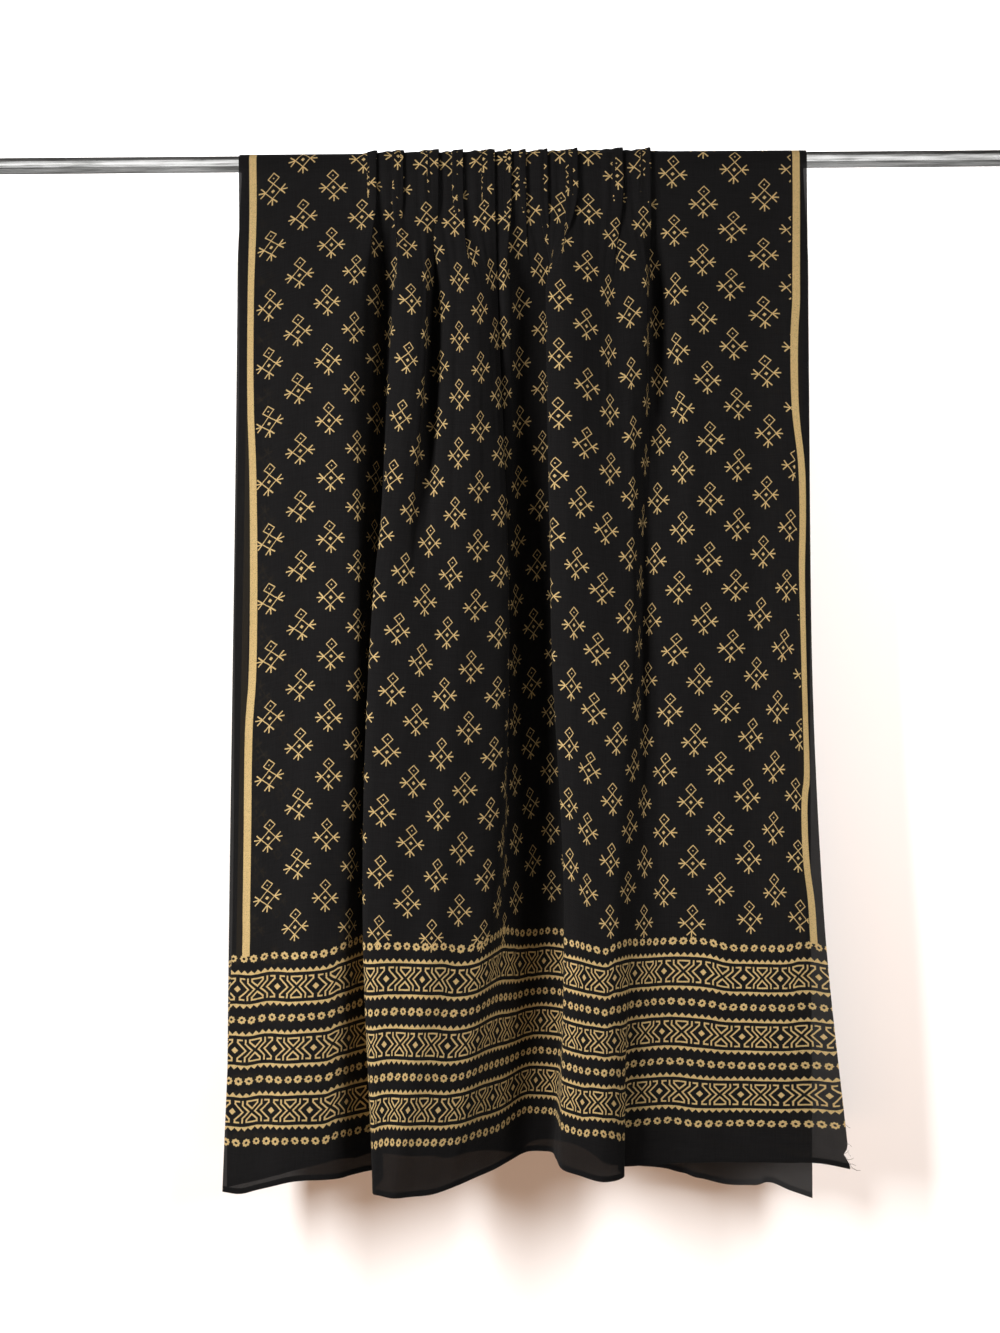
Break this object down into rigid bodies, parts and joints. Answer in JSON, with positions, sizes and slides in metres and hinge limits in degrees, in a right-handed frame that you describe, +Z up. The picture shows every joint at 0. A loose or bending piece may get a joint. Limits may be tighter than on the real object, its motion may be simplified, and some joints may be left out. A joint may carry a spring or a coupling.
{
  "type": "printed dupatta on a rail",
  "caption": "Printed cotton dupatta folded over a plain round steel rail, bunched into gathers in its middle and falling in soft pleats front and back.",
  "frame": {"origin": "centre of the rail's left end face, seen from the front", "axes": "+X along the rail to the right, +Z up, the front of the cloth faces -Y"},
  "size_m": [1.36, 0.1522, 1.2733],
  "materials": {
    "cotton": "thin semi-sheer black cotton mulmul with mustard-gold hand-block print",
    "steel": "bright drawn steel tube, faintly streaked along its length"
  },
  "bodies": {
    "root": {"dupatta": "cotton", "rail": "steel"}
  },
  "joints": []
}
